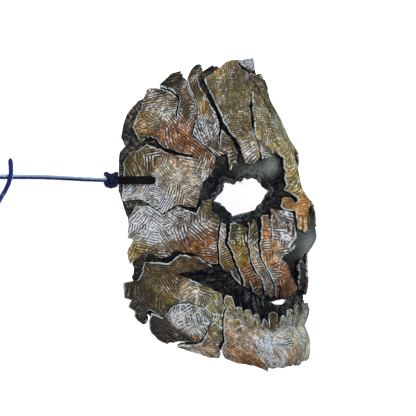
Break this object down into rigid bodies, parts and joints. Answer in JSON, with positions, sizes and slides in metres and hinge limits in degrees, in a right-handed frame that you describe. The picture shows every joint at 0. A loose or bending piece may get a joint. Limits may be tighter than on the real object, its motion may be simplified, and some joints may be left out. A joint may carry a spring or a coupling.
{
  "type": "leather full face mask",
  "caption": "Full face mask of moulded black leather covered with torn, scored and painted leather plates, with a strap, knot and coiled lace at each temple, lying face up.",
  "frame": {"origin": "on the table under the middle of the mask's own bounding box, cords left out", "axes": "+X to the wearer's left, +Y up the face, +Z out of the face, away from the wearer; the mask lies face up on its rim"},
  "size_m": [0.4616, 0.2286, 0.1177],
  "materials": {
    "shell_leather": "black moulded leather, dyed, low sheen, bare pale flesh side inside",
    "olive_leather": "thick leather, scored, olive and brown stain, dry-brushed pale",
    "amber_leather": "thick leather, scored, amber stain, dry-brushed pale",
    "rust_leather": "thick leather, scored, rust stain, dry-brushed pale",
    "bone_leather": "thick leather, scored, dark stain, heavily dry-brushed white",
    "strap_elastic": "flat black woven strap, ribbed",
    "knot_cord": "dark navy cord, matt",
    "blue_lace": "fuzzy blue lace, matt"
  },
  "bodies": {
    "root": {"base_shell": "shell_leather", "forehead_slab": "olive_leather", "forehead_plate_left": "olive_leather", "crown_sliver": "bone_leather", "upper_lip_plate": "bone_leather", "chin_plate": "bone_leather", "forehead_flank_right": "bone_leather", "forehead_flank_left": "bone_leather", "temple_plate_right": "amber_leather", "temple_plate_left": "amber_leather", "cheek_plate_right": "rust_leather", "cheek_plate_left": "rust_leather", "jaw_plate_right": "olive_leather", "jaw_plate_left": "olive_leather", "jaw_corner_right": "rust_leather", "jaw_corner_left": "rust_leather", "cheek_strip_outer_right": "olive_leather", "cheek_strip_outer_left": "olive_leather", "cheek_strip_middle_right": "amber_leather", "cheek_strip_middle_left": "amber_leather", "cheek_strip_inner_right": "amber_leather", "cheek_strip_inner_left": "amber_leather", "nose_side_plate_right": "rust_leather", "nose_side_plate_left": "rust_leather", "strap_right": "strap_elastic", "strap_left": "strap_elastic", "knot_right": "knot_cord", "knot_left": "knot_cord", "lace_right": "blue_lace", "lace_left": "blue_lace", "lace_end_right": "blue_lace", "coil_right": "blue_lace", "coil_left": "blue_lace"}
  },
  "joints": []
}
